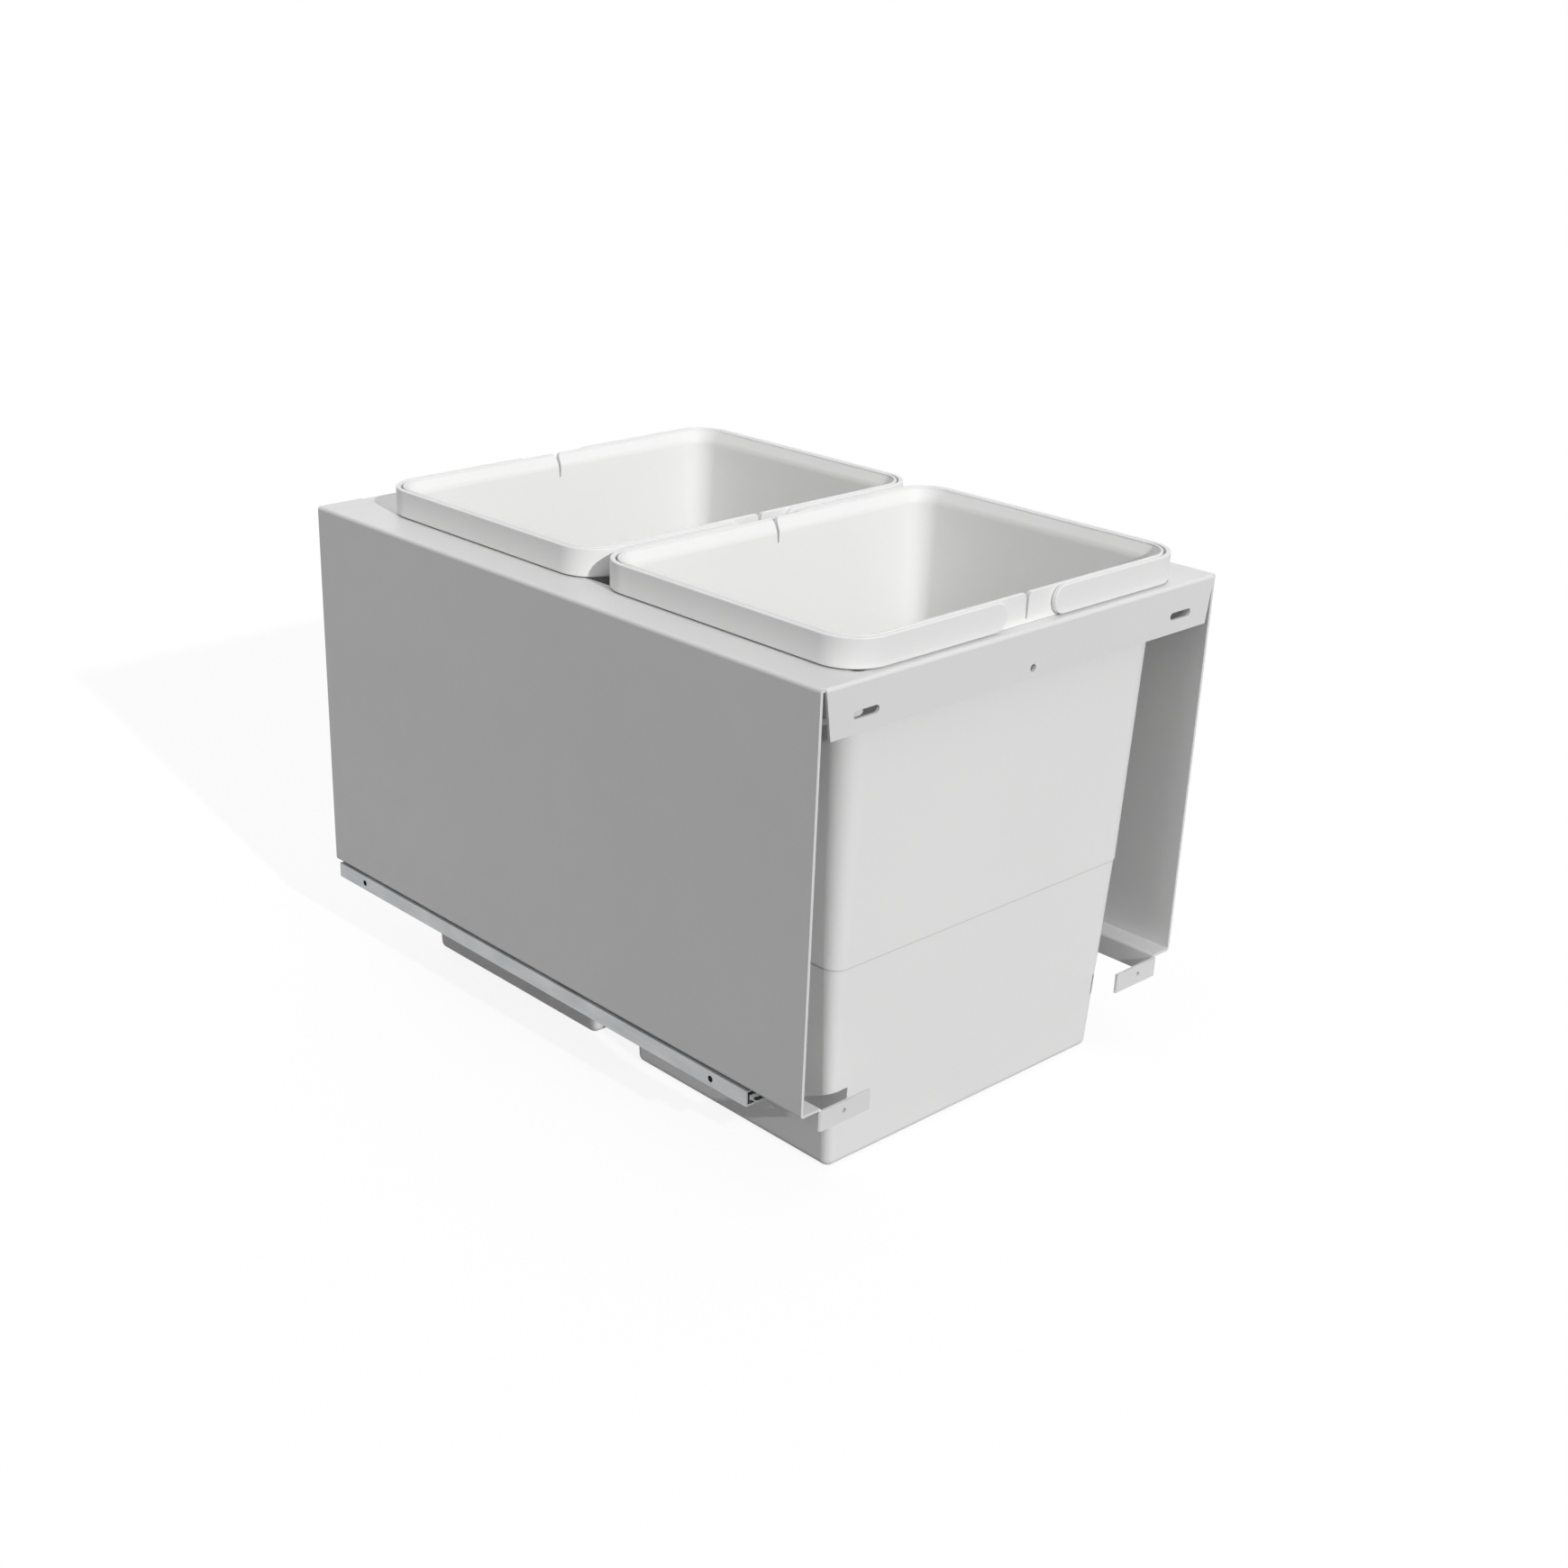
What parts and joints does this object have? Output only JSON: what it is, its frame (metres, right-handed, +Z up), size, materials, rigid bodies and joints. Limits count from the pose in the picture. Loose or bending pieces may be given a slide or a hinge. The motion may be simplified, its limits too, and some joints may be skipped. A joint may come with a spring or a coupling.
{
  "type": "pull-out cabinet waste bin unit",
  "caption": "White folded-steel carrier on telescopic rails that pulls out of a kitchen cabinet with its door and holds lift-out bins, each with fold-down bail handles.",
  "frame": {"origin": "midway between the two long holes of the front flange, on the flange's front face", "axes": "+X to the right seen from the front, +Y to the back of the cabinet, +Z up; the carrier pulls out along -Y"},
  "size_m": [0.364, 0.504, 0.3599],
  "materials": {
    "carrier_paint": "white powder coat, fine satin texture",
    "bin_plastic": "white moulded polypropylene, satin",
    "handle_plastic": "white moulded polypropylene, satin",
    "rail_zinc": "zinc-plated cold-rolled steel",
    "ball_steel": "polished hardened steel",
    "cage_plastic": "natural moulded plastic",
    "buffer_rubber": "matt",
    "rivet_steel": "bright steel"
  },
  "bodies": {
    "cabinet_rails": {"cabinet_rail_left": "rail_zinc", "cabinet_rail_right": "rail_zinc", "closing_buffer_left": "buffer_rubber", "closing_buffer_right": "buffer_rubber"},
    "outer_cages": {"outer_ball_cage_left": "cage_plastic", "outer_ball_cage_right": "cage_plastic", "outer_balls_left": "ball_steel", "outer_balls_right": "ball_steel"},
    "middle_rails": {"middle_rail_left": "rail_zinc", "middle_rail_right": "rail_zinc"},
    "inner_cages": {"inner_ball_cage_left": "cage_plastic", "inner_ball_cage_right": "cage_plastic", "inner_balls_left": "ball_steel", "inner_balls_right": "ball_steel"},
    "carrier": {"carrier_frame": "carrier_paint", "drawer_rail_left": "rail_zinc", "drawer_rail_right": "rail_zinc", "rail_rivets_left": "rivet_steel", "rail_rivets_right": "rivet_steel"},
    "front_bin": {"front_bin": "bin_plastic"},
    "front_bin_handle_left": {"front_bin_handle_left": "handle_plastic"},
    "front_bin_handle_right": {"front_bin_handle_right": "handle_plastic"},
    "rear_bin": {"rear_bin": "bin_plastic"},
    "rear_bin_handle_left": {"rear_bin_handle_left": "handle_plastic"},
    "rear_bin_handle_right": {"rear_bin_handle_right": "handle_plastic"}
  },
  "joints": [
    {"name": "pull_out", "type": "slide", "parent": "cabinet_rails", "child": "carrier", "axis": [0, -1, 0], "range_m": [0, 0.42]},
    {"name": "middle_rails_travel", "type": "slide", "parent": "cabinet_rails", "child": "middle_rails", "axis": [0, -1, 0], "range_m": [0, 0.21]},
    {"name": "outer_cages_travel", "type": "slide", "parent": "cabinet_rails", "child": "outer_cages", "axis": [0, -1, 0], "range_m": [0, 0.105]},
    {"name": "inner_cages_travel", "type": "slide", "parent": "cabinet_rails", "child": "inner_cages", "axis": [0, -1, 0], "range_m": [0, 0.315]},
    {"name": "front_bin_lift_out", "type": "slide", "parent": "carrier", "child": "front_bin", "axis": [0, 0, 1], "range_m": [0, 0.38]},
    {"name": "rear_bin_lift_out", "type": "slide", "parent": "carrier", "child": "rear_bin", "axis": [0, 0, 1], "range_m": [0, 0.38]},
    {"name": "front_bin_handle_left_hinge", "type": "hinge", "parent": "front_bin", "child": "front_bin_handle_left", "pos_m": [-0.03135, 0.11893, 0.03085], "axis": [0, 1, 0], "range_deg": [0, 98]},
    {"name": "front_bin_handle_right_hinge", "type": "hinge", "parent": "front_bin", "child": "front_bin_handle_right", "pos_m": [0.03135, 0.11893, 0.03085], "axis": [0, -1, 0], "range_deg": [0, 98]},
    {"name": "rear_bin_handle_left_hinge", "type": "hinge", "parent": "rear_bin", "child": "rear_bin_handle_left", "pos_m": [-0.03135, 0.35147, 0.03085], "axis": [0, 1, 0], "range_deg": [0, 98]},
    {"name": "rear_bin_handle_right_hinge", "type": "hinge", "parent": "rear_bin", "child": "rear_bin_handle_right", "pos_m": [0.03135, 0.35147, 0.03085], "axis": [0, -1, 0], "range_deg": [0, 98]}
  ],
  "couplings": [
    {"joint": "middle_rails_travel", "follows": "pull_out", "ratio": 0.5},
    {"joint": "outer_cages_travel", "follows": "pull_out", "ratio": 0.25},
    {"joint": "inner_cages_travel", "follows": "pull_out", "ratio": 0.75}
  ]
}
